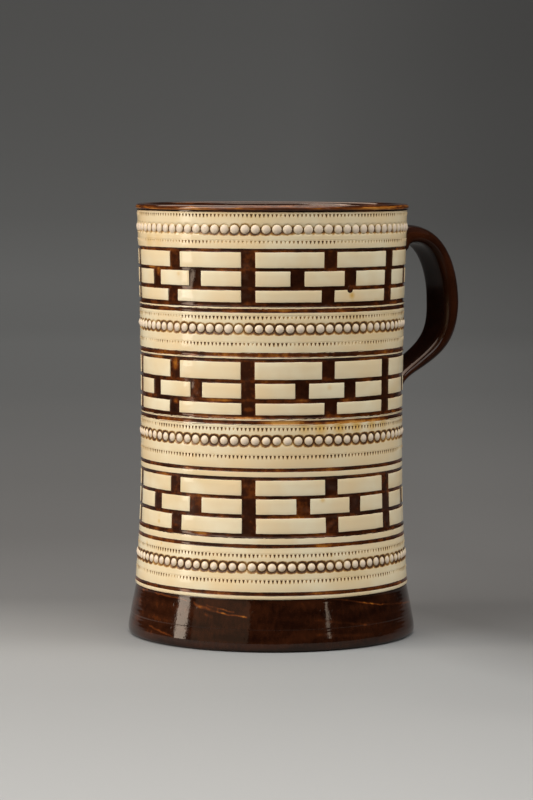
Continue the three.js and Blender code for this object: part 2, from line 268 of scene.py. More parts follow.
def ramp(value, stops):
    """A colour ramp through (place, colour) stops."""
    colour = add_node(value.id_data, "ValToRGB", {"Fac": value})["Color"]
    elements = colour.node.color_ramp.elements
    while len(elements) < len(stops):
        elements.new(0.5)
    for element, (place, tone) in zip(elements, stops):
        element.position = place
        element.color = (*tone, 1)
    return colour


def new_group(name, inputs, outputs):
    """A node group, with the kind of each named socket, and its ends."""
    tree = bpy.data.node_groups.new(name, "ShaderNodeTree")
    for side, sockets in (("INPUT", inputs), ("OUTPUT", outputs)):
        for socket, kind in sockets.items():
            tree.interface.new_socket(socket, in_out=side, socket_type=f"NodeSocket{kind}")
    new_node = tree.nodes.new
    return tree, new_node("NodeGroupInput").outputs, new_node("NodeGroupOutput").inputs


def new_glaze(name, shine=0.5, tint=(1, 1, 1)):
    """A material under clear glaze, with how strong its shine is, and the colour of that."""
    material = bpy.data.materials.new(name)
    material.use_nodes = True
    shader = material.node_tree.nodes["Principled BSDF"].inputs
    shader["IOR"].default_value = 1.5
    shader["Specular IOR Level"].default_value = shine
    shader["Specular Tint"].default_value = (*tint, 1)
    return material, material.node_tree, shader


# Clear glaze never dries quite flat: slow waves, a fine orange peel and a few pinholes
glaze_sockets = {"Height": "Float", "Roughness": "Float"}
glaze_skin, skin_in, skin_out = new_group("glaze_skin", {"Gloss": "Float"}, glaze_sockets)
here = place_on_pot(glaze_skin)
waves = calculate("MULTIPLY", cloud(here, 160, 1), 1.6)
peel = calculate("MULTIPLY", cloud(here, 1100, 2), 0.25)
holes = between(cloud(here, 620, 0), 0.2, 0.27, 0, 0.35)
dulled = between(cloud(here, 90), 0.35, 0.75, -0.02, 0.04)
link(add_up(waves, peel, holes), skin_out["Height"])
link(add_up(skin_in["Gloss"], dulled), skin_out["Roughness"])


def glaze_over(shader, colour, gloss, strength, depth, matt=None):
    """Wires a colour under clear glaze with its gloss and relief, and where it is matt instead."""
    tree = colour.id_data
    skin = add_node(tree, "Group", {"Gloss": gloss}, node_tree=glaze_skin)
    roughness = calculate("MAXIMUM", skin["Roughness"], matt) if matt else skin["Roughness"]
    bump = {"Height": skin["Height"], "Strength": strength, "Distance": depth}
    link(colour, shader["Base Color"])
    link(roughness, shader["Roughness"])
    link(add_node(tree, "Bump", bump)["Normal"], shader["Normal"])


cream = (0.775, 0.63, 0.40)
warm_cream = (0.785, 0.60, 0.35)
pale_cream = (0.80, 0.695, 0.48)
bead_cream = (0.75, 0.61, 0.465)
yellow_stain = (0.62, 0.42, 0.16)
spot_yellow = (0.66, 0.38, 0.06)
# in the glaze where slip lies in a hollow, from little to much
slip_stains = [(0.0, (0.66, 0.47, 0.22)), (0.3, (0.52, 0.32, 0.11)), (0.55, (0.21, 0.09, 0.024)),
               (0.85, (0.07, 0.027, 0.009))]
biscuit = [(0.3, (0.42, 0.31, 0.2)), (0.6, (0.56, 0.45, 0.31))]
# where a splash of slip has stained the glaze: degrees round, height, reach and strength
yellow_spots = [
    (187.5, 45.8, 1.3, 0.6), (187.5, 48, 1.6, 0.2), (266, 56, 1.7, 0.6), (269, 97.7, 1.7, 0.35),
    (201, 139.4, 1.4, 0.35), (177, 36.4, 1.4, 0.5), (190, 37.6, 0.9, 0.5), (279.5, 131.6, 1.9, 0.85),
    (280, 129.4, 1.4, 0.3), (294, 128.2, 3.0, 0.35), (180, 151.5, 5, 0.35), (188, 151.3, 4, 0.25),
    (258, 82.8, 4, 0.6), (265, 82.7, 4.3, 0.8), (274, 82.8, 4.3, 0.85), (283, 83, 4.3, 0.85),
    (292, 83.2, 4.3, 0.75), (300, 83.6, 4, 0.6),
]
cream_glaze, tree, shader = new_glaze("cream_glaze", shine=0.25)
here = place_on_pot(tree)
clay = ramp(cloud(here, 55), [(0.34, pale_cream), (0.5, cream), (0.68, warm_cream)])
yellowed = between(cloud(place_on_pot(tree, (1, 1, 1.7)), 34, 2), 0.56, 0.74, 0, 0.3)
clay = blend(yellowed, clay, yellow_stain)
for angle, level, spread, strength in yellow_spots:
    middle = on_wall(radians(angle), level) * mm
    away = measure("DISTANCE", here, middle)
    clay = blend(between(away, spread * mm, 0, 0, strength), clay, spot_yellow)
slip_depth = read_layer(tree, "slip_depth")
clay = blend(between(slip_depth, -0.1, -0.9), clay, bead_cream)
patchy = between(cloud(here, 420, 2), 0.3, 0.7, -0.12, 0.12)
stain = add_up(slip_depth, calculate("MULTIPLY", patchy, slip_depth))
clay = blend(between(stain, 0.14, 0.4), clay, ramp(stain, slip_stains))
bare = between(add_node(tree, "SeparateXYZ", {0: here})["Z"], 0.00075, 0.00055)
clay = blend(bare, clay, ramp(cloud(here, 300, 5), biscuit))
matt = calculate("MAXIMUM", calculate("MULTIPLY", bare, 0.85), between(stain, 0.3, 0.8, 0, 0.4))
glaze_over(shader, clay, 0.07, 0.3, 0.00003, matt)
finish_piece(turn(pot_outline), "thrown_pot", cream_glaze, "cream_glaze", "body")


# The brickwork: panels of raised bricks left standing between the turned joints when the bars are
# cut away with a gouge. One panel is cut flat in each band, repeated round the wall and laid on it,
# and a short stack closes the ring.
panels = 5
first_panel, seam_angle = 26.5, 15.75
panel_angle = (360 - seam_angle) / panels
stack_start = first_panel + panels * panel_angle
half_bar = 3
course_bars = [[34.7], [21.9, 45.5], [34.7]]
brick_depth = 0.95
brick_rounding = 0.17
brick_inset = 0.03  # bricks are this much narrower than the space between the bars
# How far the bricks of each course stop short of the joint below and above them, going up.
brick_shy = [
    [(0.2, 0.05), (0.25, 0.05), (0.05, 0.05)],
    [(0.05, 0.5), (0.05, 0.25), (0.05, 0.05)],
    [(0.45, 0.05), (0.25, 0.05), (0.05, 0.05)],
]
facet_width = 1.7
# The bars were spaced by eye. This is how many degrees each of those that face the front stands off
# its even place, course by course going up, and along each course from left to right.
wander = [
    [[0.5, 1.4, 2.6, 0.8], [0.1, 0.2, 1.3, 2.5, 3.5, 0.6], [-0.5, 1.1, 2.4, 0.3]],
    [[-1.3, 1.0, 2.0, -0.2], [-1.1, 0.3, 0.9, 1.9, 0.7, -0.1], [-0.8, 0.7, 0.8, 0]],
    [[-1.5, 1.0, 0.3, 0.6], [0.2, 0.2, 1.0, -0.4, 0.2, 0.9], [0, 1.0, 1.3, 1.4]],
]
seen_from, seen_to = 170, 310
usual_wander, spread_of_wander = 0.5, 0.7
stand_up = (full_turn / 4, 0, 0)


def lay_flat(left, right, low, high, inwards, margin):
    """A flat patch of wall on the bench, facing -Y, with X along the wall and Z up."""
    width, tall = right - left + 2 * margin, high - low + 2 * margin
    patch = new_piece(
        bpy.ops.mesh.primitive_grid_add,
        x_subdivisions=max(1, round(width / facet_width)),
        y_subdivisions=3,
        size=1,
        location=((left + right) / 2, inwards, (low + high) / 2),
        rotation=stand_up,
    )
    patch.scale = (width, tall, 1)
    bpy.ops.object.transform_apply()
    return patch


def join(pieces):
    work_on(pieces[0])
    for piece in pieces:
        piece.select_set(True)
    bpy.ops.object.join()
    return bpy.context.object


def copy_along(piece, shift):
    """A copy with its own mesh, further along the bench."""
    copy = piece.copy()
    copy.data = piece.data.copy()
    copy.data.transform(Matrix.Translation((shift, 0, 0)))
    bpy.context.collection.objects.link(copy)
    return copy


def apply_modifier(piece, kind, **settings):
    work_on(piece)
    modifier = piece.modifiers.new(kind.lower(), kind)
    for name, value in settings.items():
        setattr(modifier, name, value)
    bpy.ops.object.modifier_apply(modifier=modifier.name)


def wrap_on_wall(piece, radius):
    """Lays flat work on the wall: X becomes the way round, and Y the depth."""
    for corner in piece.data.vertices:
        along, inwards, up = corner.co
        corner.co = on_wall(along / radius, up, -inwards)
    piece.data.update()


def bar_shifts(number, course):
    """The even place and the shift of each bar of a course, going round."""
    draw = random.Random(10 * number + course)
    seen = iter(wander[number][course])
    shifts = []
    for panel in range(panels):
        for bar in [0, *course_bars[course]]:
            place = first_panel + panel * panel_angle + bar
            in_front = seen_from < place < seen_to
            shifts.append((place, next(seen) if in_front else draw.gauss(usual_wander, spread_of_wander)))
    return [(first_panel, 0), *shifts[1:], (stack_start, 0), (first_panel + 360, 0)]


def move_bars(ring, number, radius):
    """Bricks grow or shrink between the bars that move, and each bar keeps its width."""
    joints = bands[number]["joints"]
    shifts = [bar_shifts(number, course) for course in range(len(course_bars))]
    for corner in ring.data.vertices:
        course = sum(corner.co.z > joint + line_width / 2 for joint in joints[1:-1])
        angle = degrees(corner.co.x / radius)
        for (left, left_shift), (right, right_shift) in zip(shifts[course], shifts[course][1:]):
            if angle <= right or right == shifts[course][-1][0]:
                share = (angle - left - half_bar) / (right - left - 2 * half_bar)
                angle += left_shift + (right_shift - left_shift) * min(1, max(0, share))
                break
        corner.co.x = radians(angle) * radius


def drift(*place):
    """Slow noise at a place, from -1 to 1."""
    return noise.noise(Vector(place))


def unsettle(piece, sideways, outwards, grain, seed):
    """Small slow shifts, as a hand and a drying pot leave them."""
    for corner in piece.data.vertices:
        across, up = corner.co.x / grain, corner.co.z / grain
        shift = [drift(across, seed + apart, up) for apart in (0, 60, 120)]
        corner.co += Vector((shift[0] * sideways, shift[1] * outwards, shift[2] * sideways))


def lay_courses(number, inwards, margin, shape, *unevenness):
    """Shapes one panel and the short stack, and lays them all round the wall as a ring."""
    joints = bands[number]["joints"]
    radius = wall_radius(joints[0])
    panel, stack = [], []
    for course, bars in enumerate(course_bars):
        short_below, short_above = brick_shy[number][course]
        low = joints[course] + line_width + short_below
        high = joints[course + 1] - short_above
        for patches, start, stops in (
            (panel, first_panel, [0, *bars, panel_angle]),
            (stack, stack_start, [0, seam_angle]),
        ):
            for one, two in zip(stops, stops[1:]):
                sides = [radians(start + angle) * radius for angle in (one + half_bar, two - half_bar)]
                patches.append(lay_flat(*sides, low, high, inwards, margin))
    panel, stack = join(panel), join(stack)
    shape(panel)
    shape(stack)
    step = radians(panel_angle) * radius
    ring = join([panel, *[copy_along(panel, place * step) for place in range(1, panels)], stack])
    move_bars(ring, number, radius)
    unsettle(ring, *unevenness)
    wrap_on_wall(ring, radius)
    return ring


def cut_bricks(patches):
    apply_modifier(patches, "SOLIDIFY", thickness=brick_depth, offset=-1, use_even_offset=True)
    apply_modifier(patches, "BEVEL", width=brick_rounding, segments=3, limit_method="ANGLE",
                   angle_limit=radians(60))


brick_rings = [lay_courses(number, 0, -brick_inset, cut_bricks, 0.09, 0.06, 3.2, number * 7.3)
               for number in range(len(bands))]
finish_piece(join(brick_rings), "brickwork", cream_glaze, "cream_glaze", "body")


# The beads: four rows rolled into the cordons with a wheel of round cups, so that each bead stands
# in a sunk ring, and the rings meet in cusps. Brown slip has run into the rings. One bead is
# modelled for each row, and copied along it.
bead_profile = [(0, 0.42), (0.7, 0.33), (1.2, 0.07), (1.5, -0.18), (1.8, -0.42), (2.24, 0)]
bead_rings = [radius for radius, _ in bead_profile[1:]]
bead_sides = 12
bead_slip = [-1.0, -1.0, -0.7, 0.35, 1.0, 0.7]  # from the middle out, with bare clay below 0
cusp_depth, cusp_slip, cusp_width = 0.34, 1.3, 0.6
strip_depth = 0.62
near = 0.01
# for each row, how large its beads are, how much slip lies above and below them, and what share of
# it is in the sunk rings besides the cusps between them
bead_ways = [(0.97, 1.1, 1.05, 1), (1.02, 1.1, 0.85, 1), (1.05, 0.8, 0.9, 0.9), (1.18, 0.45, 1.2, 0.1)]
deep_at, deep_reach = 232, 15  # degrees round where the top row's rings hold the most, and how far


def select_where(piece, wanted):
    """In edit mode, selects the corners that are wanted, and the edges between them."""
    bpy.ops.mesh.select_all(action="DESELECT")
    mesh = bmesh.from_edit_mesh(piece.data)
    for corner in mesh.verts:
        corner.select_set(wanted(corner.co))
    mesh.select_flush(True)
    bmesh.update_edit_mesh(piece.data)


def bead_rise(distance):
    for (inner, low), (outer, high) in zip(bead_profile, bead_profile[1:]):
        if distance <= outer:
            return low + (high - low) * (distance - inner) / (outer - inner)
    return bead_profile[-1][1]


def with_layer(piece, name):
    """Each corner of a piece, with its value in a named layer."""
    layers = piece.data.attributes
    layer = layers.get(name) or layers.new(name, "FLOAT", "POINT")
    return zip(piece.data.vertices, layer.data)


def pull_edges(*step):
    bpy.ops.mesh.extrude_edges_move(TRANSFORM_OT_translate={"value": step})


def model_bead(pitch):
    """One bead and its sunk ring, in a patch as wide as the pitch."""
    bead = new_piece(bpy.ops.mesh.primitive_circle_add, vertices=bead_sides, radius=bead_rings[0],
                     fill_type="TRIFAN", rotation=stand_up)
    bpy.ops.object.transform_apply()
    with editing(bead):
        for inner, outer in zip(bead_rings, bead_rings[1:]):
            select_where(bead, lambda place: place.length > inner - near)
            bpy.ops.mesh.extrude_edges_move()
            bpy.ops.transform.resize(value=(outer / inner, 1, outer / inner), center_override=(0, 0, 0))
    half, edge = pitch / 2, bead_rings[-1]
    cusp = sqrt(edge ** 2 - half ** 2)
    for corner, slip in with_layer(bead, "slip_depth"):
        place = corner.co
        distance = hypot(place.x, place.z)
        place.y = -bead_rise(distance)
        rank = sum(distance > radius - near for radius in bead_rings) if distance > near else 0
        slip.value = bead_slip[rank]
        if abs(place.x) > half - 0.08 and rank == len(bead_rings):
            place.x = copysign(half, place.x)
            if abs(place.z) < 0.1:
                place.y = cusp_depth
                slip.value = cusp_slip
            else:
                place.z = copysign(cusp, place.z)
    for side in (1, -1):
        with editing(bead):
            select_where(bead, lambda place: hypot(place.x, place.z) > edge - 0.05
                         and place.z * side > cusp - near)
            pull_edges(0, 0, side * 0.1)
            bpy.ops.transform.resize(value=(1, 1, 0), center_override=(0, 0, side * bead_seat))
    for corner, slip in with_layer(bead, "slip_depth"):
        if abs(corner.co.z) > bead_seat - near:
            corner.co.y = slip.value = 0
    return bead


def repeat(patch, count, pitch):
    apply_modifier(patch, "ARRAY", count=count, use_relative_offset=False, use_constant_offset=True,
                   constant_offset_displace=(pitch, 0, 0), use_merge_vertices=True, merge_threshold=0.01)


def close_ring(strip, low, high, radius):
    """Turns the long edges of a strip inwards, joins them behind it, and wraps it on the wall."""
    with editing(strip):
        select_where(strip, lambda place: min(abs(place.z - low), abs(place.z - high)) < 0.001)
        pull_edges(0, strip_depth, 0)
        bpy.ops.mesh.bridge_edge_loops()
    wrap_on_wall(strip, radius)
    with editing(strip):
        weld()


rows = []
for number, (row, count) in enumerate(bead_rows):
    radius = wall_radius(row)
    pitch = full_turn * radius / count
    bead = model_bead(pitch)
    repeat(bead, count, pitch)
    draw = random.Random(number)
    large, above, below, ringed = bead_ways[number]
    shifts = [(draw.gauss(0, 0.035), draw.gauss(0, 0.05), draw.gauss(large, 0.03)) for _ in range(count)]
    for corner, slip in with_layer(bead, "slip_depth"):
        place = corner.co
        which = round(place.x / pitch)
        across = place.x - which * pitch
        sideways, upwards, size = shifts[which % count]
        if hypot(across, place.z) < bead_rings[2] + near:
            place.x = which * pitch + across * size + sideways
            place.z = place.z * size + upwards
        wet = drift(place.x / 9, place.z / 5, number * 4.1)
        share = above if place.z > 0 else below
        if abs(across) < pitch / 2 - cusp_width:
            off_deep = (degrees(place.x / radius) - deep_at) / deep_reach
            share *= ringed + (1 - ringed) * exp(-off_deep ** 2)
        if slip.value > 0:
            slip.value *= min(1, max(0.05, share + wet * 0.9 * share))
        place.z += row
    close_ring(bead, row - bead_seat, row + bead_seat, radius)
    rows.append(bead)
finish_piece(join(rows), "beading", cream_glaze, "cream_glaze", "body", smooth=60)


# The notches: eight rows of small wedges rolled in with a toothed wheel, each hanging from the fine
# line that the wheel's edge leaves. They hold slip in some stretches and next to none in others.
notch_tall, notch_middle = 1.32, 0.1
notch_top, notch_bottom = 0.5, 0.12  # half widths
notch_wetness = [0.7, 0.8, 0.9, 0.85, 0.62, 0.7, 0.42, 0.72]
notch_sink = 0.28
# its floor and its edge: how narrow and short they are, how deep, and how much slip they hold
notch_outlines = [(0.6, 0.6, notch_sink, 1.05), (1, 1, 0.0, 0.3)]
wheel_line, line_slip = 0.05, 0.04
line_steps = [(0.07, -wheel_line), (0.23, 0)]  # up, and out from the wall
line_tall = 0.3


def model_notch(pitch, tall):
    """One notch in a patch as wide as the pitch."""
    low, high = notch_seat
    line = high - line_tall
    patch = new_piece(bpy.ops.mesh.primitive_plane_add, size=1, rotation=stand_up)
    patch.scale = (pitch, line - low, 1)
    patch.location = (0, 0, (low + line) / 2)
    bpy.ops.object.transform_apply()
    with editing(patch):
        for thickness in (0.2, 0.08):
            bpy.ops.mesh.inset(thickness=thickness)
        select_where(patch, lambda place: place.z > line - near)
        for step, out in line_steps:
            pull_edges(0, out, step)
    inner = sorted(with_layer(patch, "slip_depth"), key=lambda pair: abs(pair[0].co.x))
    for rank, (narrow, short, sink, amount) in enumerate(notch_outlines):
        for corner, slip in inner[rank * 4:rank * 4 + 4]:
            upper = corner.co.z > (low + line) / 2
            half = copysign(notch_top if upper else notch_bottom, corner.co.x)
            end = tall / 2 if upper else -tall / 2
            corner.co = (half * narrow, sink, notch_middle + end * short)
            slip.value = amount
    for corner, slip in with_layer(patch, "slip_depth"):
        if slip.value == 0 and corner.co.z < line + 0.1:
            corner.co.y = wheel_line * (corner.co.z - low) / (line - low)
            slip.value = line_slip
    return patch


rows = []
for number, (row, count) in enumerate(notch_rows):
    radius = wall_radius(row)
    pitch = full_turn * radius / count
    patch = model_notch(pitch, notch_tall - 0.02 * number)
    repeat(patch, count, pitch)
    draw = random.Random(100 + number)
    deep = [draw.uniform(0.75, 1.25) for _ in range(count)]
    for corner, slip in with_layer(patch, "slip_depth"):
        which = round(corner.co.x / pitch)
        wet = notch_wetness[number] + 0.9 * drift(which * pitch / 11, row, number)
        wet += 0.5 * drift(which * 0.9, row, 3)
        if corner.co.y > notch_sink / 2:
            corner.co.y *= deep[which % count]
        if slip.value > 0.2:
            slip.value *= min(1.15, max(0.24, wet))
        corner.co.z += row
    close_ring(patch, row + notch_seat[0], row + notch_seat[1], radius)
    rows.append(patch)
finish_piece(join(rows), "notching", cream_glaze, "cream_glaze", "body", smooth=30)


# The slip between the bricks: brown slip trailed into the cut joints and bars of each band, where it
# has settled lower than the bricks and climbs their sides. It is near black where it lies thick,
# and amber where it is thin. One drop has run from a bar of the upper band over the brick below it.
slip_sink = 0.42
meniscus_margin = 0.36
meniscus_steps = [(0.15, 0.03), (0.12, 0.07), (0.1, 0.13)]  # inset, rise
bed_laps = [(0.3, 0.06), (0.42, 0.12), (0.1, 0.12)]  # over the edges below and above
bed_slope = [(0.03, 0.35), (0.12, 0.68), (0.27, 0.9), (0.45, 1)]  # how far in, and share of the sink
drip_angle, drip_height = 278.5, 133.9
drip_size = (1.3, 0.24, 1.35)  # along, out and up
# Where slip lies thin enough to show amber: degrees round, height, reach each way, and how much.
thin_places = [
    (198, 106, 2.6, 3.4, 0.55), (198, 91.7, 2.6, 1.3, 0.5), (210, 97.5, 2.8, 4, 0.24),
    (222, 93, 9, 0.9, 0.4), (232, 86.4, 10, 0.9, 0.44), (234, 89.6, 3, 1.4, 0.28),
    (183, 108, 9, 0.9, 0.42), (278, 84.4, 24, 1.0, 0.4), (247, 85, 12, 1.2, 0.44),
    (262, 21.6, 3, 1, 0.4), (179, 142, 8, 0.9, 0.4), (187, 140, 2.6, 2, 0.3),
    (217, 149, 7, 0.9, 0.25), (237, 129, 7, 0.9, 0.3), (247, 126.6, 14, 1, 0.36),
    (286, 135, 7, 0.8, 0.36), (262, 142, 6, 0.8, 0.2), (190, 64, 9, 0.8, 0.26),
    (211, 43.4, 7, 0.9, 0.34), (200, 45.2, 2.4, 1.2, 0.24), (284, 64.6, 11, 0.9, 0.36),
    (294, 108, 7, 0.9, 0.3), (257, 93, 4, 1, 0.24), (277, 92.4, 4, 1, 0.24), (268, 101, 4, 1, 0.2),
]


def lay_thinness(piece, even, seed, joints=()):
    """Gives each corner how thin the slip lies there: 0 is thick and black, 1 thin and golden."""
    for corner, thinness in with_layer(piece, "thinness"):
        place = corner.co
        angle = degrees(atan2(place.y, place.x)) % 360
        amount = even + 0.3 * noise.noise(place / 9 + Vector((0, 0, seed)))
        amount += 0.2 * noise.noise(place / 2.3)
        if any(joint < place.z < joint + line_width for joint in joints):
            amount += 0.1
        for where, level, wide, tall, more in thin_places:
            off = hypot((angle - where) / wide, (place.z - level) / tall)
            amount += more * max(0, 1 - off * off)
        thinness.value = amount


def slip_edge(level, inward, lap, sink, slope):
    """Corners of slip from behind the edge of a groove, over its lap and down into the groove."""
    corners = [(-0.9, 0.02), (-0.2, 0.02), (-0.03, -lap - 0.02), (0.012, -lap), (-0.03, -0.04)]
    corners += [(-sink * share, along) for along, share in slope]
    return [(wall_radius(level) + out, level + inward * along) for out, along in corners]


def slip_ring(low, high, sink, laps, slope):
    """Outline of slip that fills a groove, and laps over its edges below and above."""
    lower = slip_edge(low, 1, laps[0], sink, slope)
    middle = [(radius - sink, height) for radius, height in climb(low + 0.45, high - 0.45, 0.5)]
    upper = slip_edge(high, -1, laps[1], sink, slope)
    return [*lower, *middle, *reversed(upper), lower[0]]


def fray(piece, low, high, seed):
    """Lets the laps of slip over the edges of a groove run a little wide or narrow."""
    for corner in piece.data.vertices:
        place = corner.co
        if low - 0.6 < place.z < low - 0.05 or high + 0.05 < place.z < high + 0.6:
            wide = 1 + 0.75 * drift(place.x / 5, place.y / 5, seed)
            wide += 0.5 * drift(place.x / 1.5, place.y / 1.5, seed)
            edge = low if place.z < low else high
            place.z = edge + (place.z - edge) * max(0.3, wide)


def model_drip():
    drip = new_piece(bpy.ops.mesh.primitive_uv_sphere_add, segments=32, ring_count=16, radius=1)
    radius = wall_radius(bands[-1]["joints"][0])
    for corner in drip.data.vertices:
        along, out, up = [share * size for share, size in zip(corner.co, drip_size)]
        corner.co = on_wall(radians(drip_angle) + along / radius, drip_height + up, out)
    with editing(drip):
        weld()
    return drip


# Slip under the glaze, from thick and near black, through brown and red, to thin amber and gold
slip_tones = [(0.0, (0.011, 0.0031, 0.0014)), (0.38, (0.036, 0.0096, 0.0034)), (0.6, (0.125, 0.031, 0.0065)),
              (0.8, (0.33, 0.115, 0.015)), (1.0, (0.52, 0.25, 0.06))]
slip_colour, slip_in, slip_out = new_group("slip_colour", {"Thinness": "Float"}, {"Color": "Color"})
link(ramp(slip_in["Thinness"], slip_tones), slip_out["Color"])


def coat_in_slip(shader, thin, gloss, strength, depth):
    """Wires slip that lies so thin, under clear glaze."""
    colour = add_node(thin.id_data, "Group", {"Thinness": thin}, node_tree=slip_colour)["Color"]
    glaze_over(shader, colour, gloss, strength, depth)


def let_climb(patches):
    """Turns patches of slip up in steps, for the sides of the bricks."""
    with editing(patches):
        bpy.ops.mesh.select_all(action="SELECT")
        for inset, rise in meniscus_steps:
            bpy.ops.mesh.inset(thickness=inset, depth=rise)
    apply_modifier(patches, "SOLIDIFY", thickness=0.3, offset=-1)


brown_slip, tree, shader = new_glaze("brown_slip", shine=0.33, tint=(1, 0.82, 0.68))
flecks = between(cloud(place_on_pot(tree), 900), 0.3, 0.75, -0.05, 0.07)
coat_in_slip(shader, add_up(read_layer(tree, "thinness"), flecks), 0.09, 0.8, 0.00004)

for number, band in enumerate(bands):
    bed = turn(slip_ring(*band["bed"], slip_sink, bed_laps[number], bed_slope))
    fray(bed, *band["bed"], number)
    for corner in bed.data.vertices:
        radius = hypot(corner.co.x, corner.co.y)
        if 0.2 < wall_radius(corner.co.z) - radius < 0.6:
            swell = noise.noise(corner.co / 3.1) * 0.07 + noise.noise(corner.co / 1.1) * 0.025
            corner.co.xy *= (radius + swell) / radius
    lay_thinness(bed, 0.31, number, band["joints"])
    menisci = lay_courses(number, slip_sink + 0.02, meniscus_margin, let_climb, 0.07, 0.03, 1.6, 40 + number)
    lay_thinness(menisci, 0.42, number, band["joints"])
    parts = [bed, menisci]
    if band["name"] == "upper":
        parts.append(model_drip())
        lay_thinness(parts[-1], 0.3, number)
    name = band["name"]
    finish_piece(join(parts), f"mortar_{name}", brown_slip, "brown_slip", f"mortar_slip_{name}", smooth=50)


# The brown lines: slip run into six turned grooves while the pot turns, so that it lies a little
# hollow between their edges, and has run over them here and there.
line_laps = {  # over the groove's edges below and above
    "foot_line": (0.1, 0.14),
    "line_below_lower_bricks": (0.14, 0.12),
    "line_above_lower_bricks": (0.1, 0.1),
    "line_below_middle_bricks": (0.4, 0.1),
    "line_above_middle_bricks": (0.28, 0.28),
    "line_below_upper_bricks": (0.1, 0.28),
}
line_sink = 0.15
line_slope = [(0.03, 0.5), (0.1, 0.8), (0.2, 0.93), (0.38, 1)]
for name, low in lines.items():
    high = low + line_width
    line = turn(slip_ring(low, high, line_sink, line_laps[name], line_slope))
    fray(line, low, high, low)
    for corner in line.data.vertices:
        radius = hypot(corner.co.x, corner.co.y)
        if 0.07 < wall_radius(corner.co.z) - radius < 0.6:
            corner.co.xy *= 1 + drift(corner.co.x / 4, corner.co.y / 4, low) * 0.0011
    lay_thinness(line, 0.5, low)
    finish_piece(line, f"{name}_slip", brown_slip, "brown_slip", name)


# The foot: its flare is dipped in brown slip, down to the wiped edge. The turning rings still show
# through it, and the dip has left thin orange trails.
foot_profile = [(53.4, 0.1), (53.95, 0.14), (54.45, 0.3), (54.85, 0.6), (55.1, 1.0), (55.21, 1.5),
                (55.24, 2.2), (55.13, 3.7), (54.93, 4.9), (54.66, 6.3), (54.47, 7.2), (54.38, 7.8),
                (54.3, 8.1), (54.28, 8.4), (54.27, 8.6), (54.22, 8.8), (54.02, 9.9), (53.86, 10.6),
                (53.7, 11.5), (53.42, 12.9), (53.12, 14.4), (52.8, 16.0), (52.56, 17.2), (52.37, 18.2),
                (52.31, 18.7), (52.28, 19.1), (52.22, 19.3), (52.1, 19.44), (51.95, 19.5)]
ring_step, rings_from = 0.26, 1.5
foot_thickness = 0.55
foot_facets = 480
foot_girth = 54
foot_degree = radians(foot_girth)
# Each trail has its reach, how thin the slip is on it, and its way as degrees round and height.
trails = [
    (0.45, 0.5, [(187, 18.6), (193, 18.4), (202, 18.2), (209, 17.4)]),
    (0.85, 0.62, [(211, 16.8), (215, 15.6), (222, 15)]),
    (0.4, 0.55, [(217, 16.6), (223, 15.6), (229, 14.6)]),
    (0.45, 0.6, [(220, 14.6), (226, 13.8), (234, 13)]),
    (0.8, 0.4, [(216.5, 13.2), (219.5, 12.6)]),
    (0.5, 0.3, [(186, 6.4), (192, 5.5), (202, 3.7)]),
    (0.4, 0.55, [(269, 19.1), (277, 18.2), (284, 16.7), (296, 14.9)]),
    (0.35, 0.34, [(296, 14.9), (309, 14), (334, 11.5)]),
    (0.6, 0.2, [(262, 11.6), (274, 10.2), (285, 8.4)]),
    (0.8, 0.22, [(262, 6.2), (278, 5.3), (288, 4.5)]),
    (0.7, 0.16, [(243, 18.7), (251, 18.5)]),
    (0.5, 0.4, [(174, 18.4), (180, 19)]),
    (10, 0.2, [(172, 13), (198, 12)]),
    (0.5, 0.5, [(20, 17), (38, 15.5), (55, 15.8), (70, 13.5)]),
    (0.6, 0.4, [(88, 9), (104, 10.5), (125, 9.6)]),
]
foot_outline = []
for (radius, low), (next_radius, high) in zip(foot_profile, foot_profile[1:]):
    count = max(1, round((high - low) / ring_step))
    for step in range(count):
        share = step / count
        level = low + (high - low) * share
        ring = 0.004 * sin(level * 4.4) + 0.002 * sin(level * 7.9 + 1)
        ring *= level > rings_from
        foot_outline.append((radius + (next_radius - radius) * share + ring, level))
foot_back = [(radius - foot_thickness, level) for radius, level in reversed(foot_profile[4:-1:4])]
foot_outline += [foot_profile[-1], (51.75, 19.3), *foot_back, (53.5, 0.8), foot_outline[0]]
foot_coat = turn(foot_outline, foot_facets)


def off_way(here, way):
    """How far a place on the foot lies from a trail, in millimetres."""
    nearest = full_turn * foot_girth
    for (angle, low), (next_angle, high) in zip(way, way[1:]):
        start = Vector((radians(angle) * foot_girth, low))
        stride = Vector((radians(next_angle) * foot_girth, high)) - start
        share = min(1, max(0, (here - start).dot(stride) / stride.length_squared))
        nearest = min(nearest, (here - start - stride * share).length)
    return nearest


for corner, thinness in with_layer(foot_coat, "thinness"):
    place = corner.co
    along = atan2(place.y, place.x) % full_turn * foot_girth
    bend = drift(place.x / 2.5, place.y / 2.5, 7) * 0.35
    amount = 0.18 + 0.3 * drift(place.x / 14, place.y / 14, place.z / 3.5)
    amount += 0.12 * noise.noise(place / 2)
    for spread, thinner, way in trails:
        if way[0][0] - spread - 1 < along / foot_degree < way[-1][0] + spread + 1:
            off = off_way(Vector((along, place.z + bend)), way) / spread
            worn = 0.85 + 0.6 * noise.noise(place / 3 + Vector((0, 0, 50)))
            amount += thinner * worn * max(0, 1 - off * off)
    thinness.value = amount

foot_slip, tree, shader = new_glaze("foot_slip", shine=0.4, tint=(1, 0.9, 0.8))
flecks = between(cloud(place_on_pot(tree, (1, 1, 0.4)), 900), 0.3, 0.75, -0.06, 0.07)
coat_in_slip(shader, add_up(read_layer(tree, "thinness"), flecks), 0.06, 0.7, 0.00005)
finish_piece(foot_coat, "foot_coat", foot_slip, "brown_slip", "foot_slip", smooth=30)


